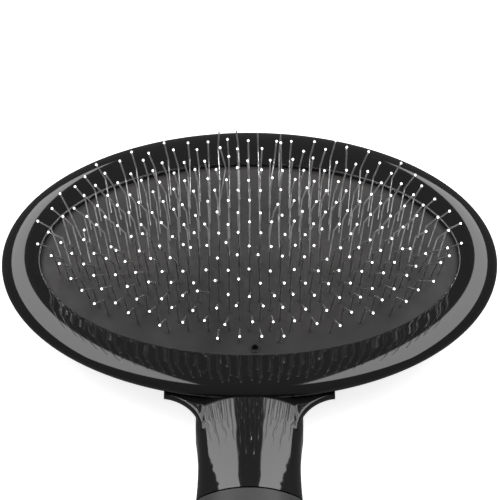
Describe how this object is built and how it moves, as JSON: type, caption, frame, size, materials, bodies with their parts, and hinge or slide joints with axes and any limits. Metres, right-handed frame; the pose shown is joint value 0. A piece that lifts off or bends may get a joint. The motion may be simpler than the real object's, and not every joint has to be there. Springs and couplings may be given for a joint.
{
  "type": "pet grooming pin brush",
  "caption": "Pet grooming pin brush with a wide oval head, a sprung domed rubber cushion of bent wire pins with ball tips, and a grip handle with a hanging hole.",
  "frame": {"origin": "centre of the head's flat back, on the plane that the brush lies on", "axes": "+Z along the pins, away from the back; the handle points towards -Y; +X across the head"},
  "size_m": [0.1, 0.1735, 0.0371],
  "materials": {
    "shell": "gloss black moulded plastic",
    "seat": "plain black moulded plastic",
    "grip": "satin black soft grip",
    "cushion": "matte dark grey rubber",
    "backing": "woven laminate",
    "wire": "drawn steel wire",
    "ball": "polished",
    "screw": "zinc plated"
  },
  "bodies": {
    "brush_body": {"face_ring": "shell", "seat_ring": "seat", "back_shell": "shell", "handle_top": "shell", "grip_sleeve": "grip", "end_cap": "shell", "handle_screws": "screw"},
    "cushion": {"cushion_pad": "cushion", "pad_backing": "backing", "pin_row_01": "wire", "pin_row_02": "wire", "pin_row_03": "wire", "pin_row_04": "wire", "pin_row_05": "wire", "pin_row_06": "wire", "pin_row_07": "wire", "pin_row_08": "wire", "pin_row_09": "wire", "pin_row_10": "wire", "pin_row_11": "wire", "pin_row_12": "wire", "pin_row_13": "wire", "pin_row_14": "wire", "pin_row_15": "wire", "pin_row_16": "wire", "pin_row_17": "wire", "pin_row_18": "wire", "pin_row_19": "wire", "ball_row_01": "ball", "ball_row_02": "ball", "ball_row_03": "ball", "ball_row_04": "ball", "ball_row_05": "ball", "ball_row_06": "ball", "ball_row_07": "ball", "ball_row_08": "ball", "ball_row_09": "ball", "ball_row_10": "ball", "ball_row_11": "ball", "ball_row_12": "ball", "ball_row_13": "ball", "ball_row_14": "ball", "ball_row_15": "ball", "ball_row_16": "ball", "ball_row_17": "ball", "ball_row_18": "ball", "ball_row_19": "ball"}
  },
  "joints": [
    {"name": "cushion_press", "type": "slide", "parent": "brush_body", "child": "cushion", "axis": [0, 0, -1], "range_m": [0, 0.0022], "stiffness_N_per_m": 3000, "deforming": ["cushion_pad"]}
  ]
}
